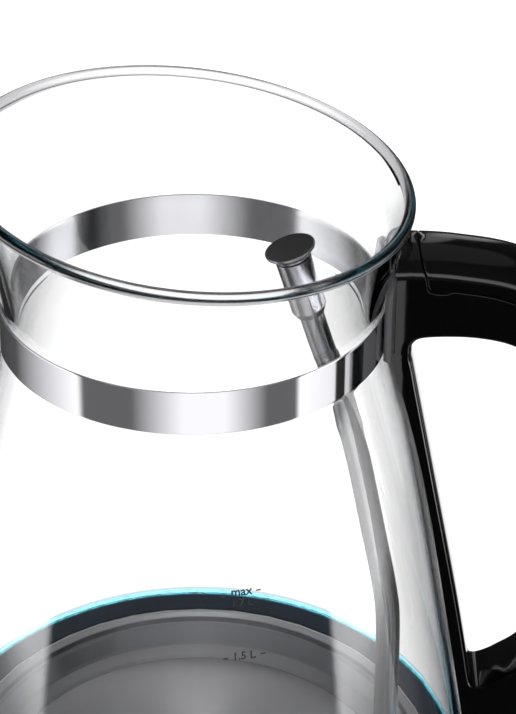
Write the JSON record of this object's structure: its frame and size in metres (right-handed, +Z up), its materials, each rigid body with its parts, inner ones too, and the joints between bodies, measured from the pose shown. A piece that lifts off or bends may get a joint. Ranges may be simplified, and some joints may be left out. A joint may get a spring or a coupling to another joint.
{
  "type": "electric kettle",
  "caption": "Cordless glass electric kettle with a slanted pouring mouth, steel neck band, loop handle and a round power base.",
  "frame": {"origin": "On the table, under the middle of the whole kettle's bounding box", "axes": "+Z up, +X from the jug towards the handle, -X towards the pouring lip, Y across; the jug's upright axis is at x = -0.0222 m"},
  "size_m": [0.2094, 0.165, 0.2531],
  "materials": {
    "clear_glass": "clear polished borosilicate",
    "polished_steel": "finely brushed, nearly polished",
    "brushed_plate": "circular brushed",
    "screw_steel": "zinc plated",
    "black_gloss": "high gloss moulded",
    "black_matte": "fine moulded texture",
    "black_rubber": "matt",
    "silicone": "translucent matt",
    "light_guide": "lit translucent ring",
    "circuit_board": "solder resist",
    "white_plastic": "glass filled nylon",
    "brass": "stamped strip",
    "aluminium": "rolled"
  },
  "bodies": {
    "power_base": {"base_upper_shell": "black_gloss", "base_lower_shell": "black_matte", "base_connector": "black_matte", "line_contact": "brass", "neutral_contact": "brass", "earth_contact": "brass", "cord_gland": "black_rubber", "foot_1": "black_rubber", "foot_2": "black_rubber", "foot_3": "black_rubber", "foot_4": "black_rubber", "base_screw_1": "screw_steel", "base_screw_2": "screw_steel", "base_screw_3": "screw_steel"},
    "swivel_collar": {"swivel_collar": "black_matte"},
    "jug": {"glass_jug": "clear_glass", "neck_band": "polished_steel", "handle_body": "black_gloss", "handle_cover": "black_gloss", "neck_saddle": "black_matte", "handle_screw_upper": "screw_steel", "handle_screw_lower": "screw_steel", "lever_pin": "screw_steel", "steam_tube": "polished_steel", "tube_sleeve": "polished_steel", "steam_cap": "polished_steel", "tube_grommet": "silicone", "heater_plate": "brushed_plate", "plate_seal": "silicone", "heat_spreader": "aluminium", "heating_element": "screw_steel", "dry_boil_disc": "brass", "light_ring": "light_guide", "led_board": "circuit_board", "jug_housing": "black_gloss", "glass_gasket": "silicone", "bottom_cover": "black_matte", "cover_screw_1": "screw_steel", "cover_screw_2": "screw_steel", "cover_screw_3": "screw_steel", "cover_screw_4": "screw_steel", "jug_connector": "black_matte", "line_ring": "brass", "neutral_ring": "brass", "earth_pin": "brass", "control_unit": "white_plastic", "steam_switch": "white_plastic", "steam_disc": "brass"},
    "switch_lever": {"switch_lever": "black_gloss"}
  },
  "joints": [
    {"name": "jug_swivel", "type": "hinge", "parent": "power_base", "child": "swivel_collar", "pos_m": [-0.0222, 0, 0.018], "axis": [0, 0, 1], "continuous": true},
    {"name": "jug_lift", "type": "slide", "parent": "swivel_collar", "child": "jug", "axis": [0, 0, 1], "range_m": [0, 0.12]},
    {"name": "switch_rocker", "type": "hinge", "parent": "jug", "child": "switch_lever", "pos_m": [0.0673, 0, 0.0355], "axis": [0, 1, 0], "range_deg": [-12, 0]}
  ]
}
